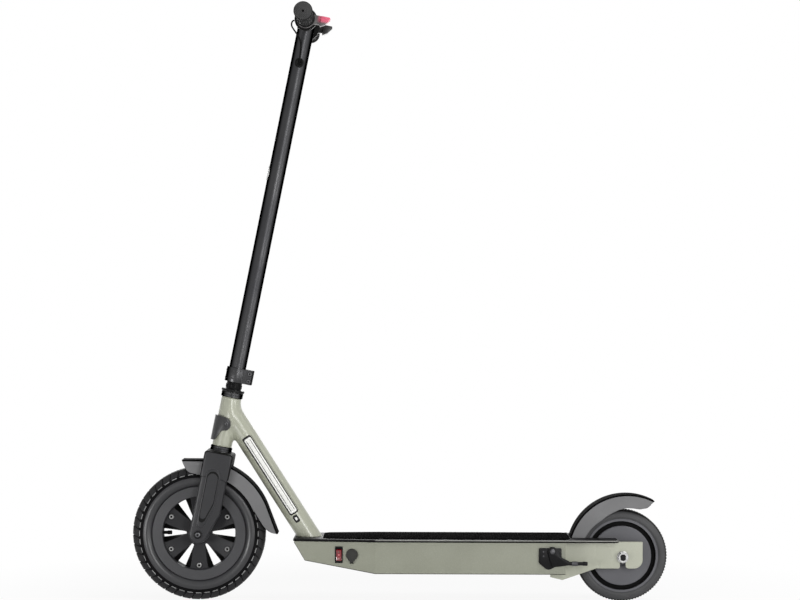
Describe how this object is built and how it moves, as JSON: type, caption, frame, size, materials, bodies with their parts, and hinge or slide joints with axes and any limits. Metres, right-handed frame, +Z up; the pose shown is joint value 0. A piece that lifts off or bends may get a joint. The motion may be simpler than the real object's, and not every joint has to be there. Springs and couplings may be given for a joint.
{
  "type": "electric scooter",
  "caption": "Adult electric kick scooter with a large front wheel, a small rear hub-motor wheel, a flat deck over a battery tray, thumb controls and a side kickstand.",
  "frame": {"origin": "on the ground, midway along the overall length, on the centre plane between the wheels", "axes": "+X towards the rear wheel, +Y to the rider's right, +Z up"},
  "size_m": [1.0078, 0.42, 1.1116],
  "materials": {
    "sage_paint": "satin sage paint over aluminium",
    "satin_black_paint": "satin black coating over aluminium",
    "dark_grey_paint": "dark grey coating over aluminium",
    "dark_grey_steel": "dark grey coating over steel",
    "grey_plastic": "satin moulded plastic",
    "black_plastic": "fine grained moulded plastic",
    "black_metal": "black coating over steel",
    "battery_wrap": "black shrink wrap",
    "pale_grey_plastic": "moulded plastic with a pink end",
    "black_rubber": "matt rubber",
    "tyre_rubber": "dusty tread rubber",
    "bright_steel": "bright plated steel",
    "red_rocker": "translucent red plastic, lit from inside",
    "white_badge": "plain white printed badge"
  },
  "bodies": {
    "chassis": {"head_tube": "sage_paint", "down_tube": "sage_paint", "deck_plate": "sage_paint", "deck_tray": "sage_paint", "grip_mat": "black_rubber", "dropout_left": "sage_paint", "dropout_right": "sage_paint", "battery_left": "battery_wrap", "battery_right": "battery_wrap", "speed_controller": "bright_steel", "switch_housing": "black_plastic", "charge_socket": "black_plastic", "kickstand_bracket": "black_metal", "kickstand_bolt": "bright_steel", "rear_fender": "grey_plastic", "wire_cover": "black_plastic", "headset_lower_cup": "black_metal", "headset_upper_cup": "black_metal", "rear_axle": "bright_steel", "motor_stator": "bright_steel", "rear_nut_left": "bright_steel", "rear_nut_right": "bright_steel", "motor_lead_gland": "black_rubber"},
    "steering": {"fork": "dark_grey_paint", "steerer_tube": "bright_steel", "headset_lower_bearing": "bright_steel", "headset_upper_bearing": "bright_steel", "headset_locknut": "black_metal", "column_clamp": "satin_black_paint", "clamp_bolt_upper": "bright_steel", "clamp_bolt_lower": "bright_steel", "steering_column": "satin_black_paint", "handlebar": "satin_black_paint", "grip_left": "black_rubber", "grip_right": "black_rubber", "brake_housing": "black_plastic", "throttle_housing": "black_plastic", "brake_lead": "black_rubber", "lead_grommet_left": "black_rubber", "lead_grommet_right": "black_rubber", "column_badge": "white_badge", "front_axle": "bright_steel", "front_axle_nut": "bright_steel", "front_fender": "grey_plastic"},
    "front_wheel": {"front_rim_left": "dark_grey_paint", "front_rim_right": "dark_grey_paint", "front_tyre": "tyre_rubber", "front_inner_tube": "black_rubber", "front_bearing_left": "bright_steel", "front_bearing_right": "bright_steel"},
    "rear_wheel": {"motor_shell": "dark_grey_steel", "motor_cover": "dark_grey_paint", "rear_tyre": "tyre_rubber", "rear_bearing_left": "bright_steel", "rear_bearing_right": "bright_steel"},
    "brake_paddle": {"brake_paddle": "pale_grey_plastic"},
    "throttle_paddle": {"throttle_paddle": "black_plastic"},
    "power_rocker": {"power_rocker": "red_rocker"},
    "charge_cap": {"charge_cap": "black_rubber"},
    "kickstand": {"kickstand_leg": "black_metal"}
  },
  "joints": [
    {"name": "steering", "type": "hinge", "parent": "chassis", "child": "steering", "pos_m": [-0.37046, 0, 0.12333], "axis": [0.1942, 0, 0.981], "range_deg": [-45, 45]},
    {"name": "front_wheel_spin", "type": "hinge", "parent": "steering", "child": "front_wheel", "pos_m": [-0.3789, 0, 0.125], "axis": [0, 1, 0], "continuous": true},
    {"name": "rear_wheel_spin", "type": "hinge", "parent": "chassis", "child": "rear_wheel", "pos_m": [0.4177, 0, 0.0862], "axis": [0, 1, 0], "continuous": true},
    {"name": "brake_press", "type": "hinge", "parent": "steering", "child": "brake_paddle", "pos_m": [-0.17901, 0, 1.09026], "axis": [0, 1, 0], "range_deg": [0, 28], "stiffness_Nm_per_rad": 0.3, "springref_deg": -17.19},
    {"name": "throttle_press", "type": "hinge", "parent": "steering", "child": "throttle_paddle", "pos_m": [-0.17901, 0, 1.09026], "axis": [0, 1, 0], "range_deg": [0, 28], "stiffness_Nm_per_rad": 0.3, "springref_deg": -17.19},
    {"name": "power_rock", "type": "hinge", "parent": "chassis", "child": "power_rocker", "pos_m": [-0.11291, -0.06581, 0.0908], "axis": [-0.9919, 0.1272, 0], "range_deg": [0, 18]},
    {"name": "charge_cap_swing", "type": "hinge", "parent": "chassis", "child": "charge_cap", "pos_m": [-0.08962, -0.07762, 0.076], "axis": [0.9919, -0.1272, 0], "range_deg": [0, 110]},
    {"name": "kickstand_swing", "type": "hinge", "parent": "chassis", "child": "kickstand", "pos_m": [0.2841, -0.0803, 0.0996], "axis": [0, 1, 0], "range_deg": [0, 80]}
  ]
}
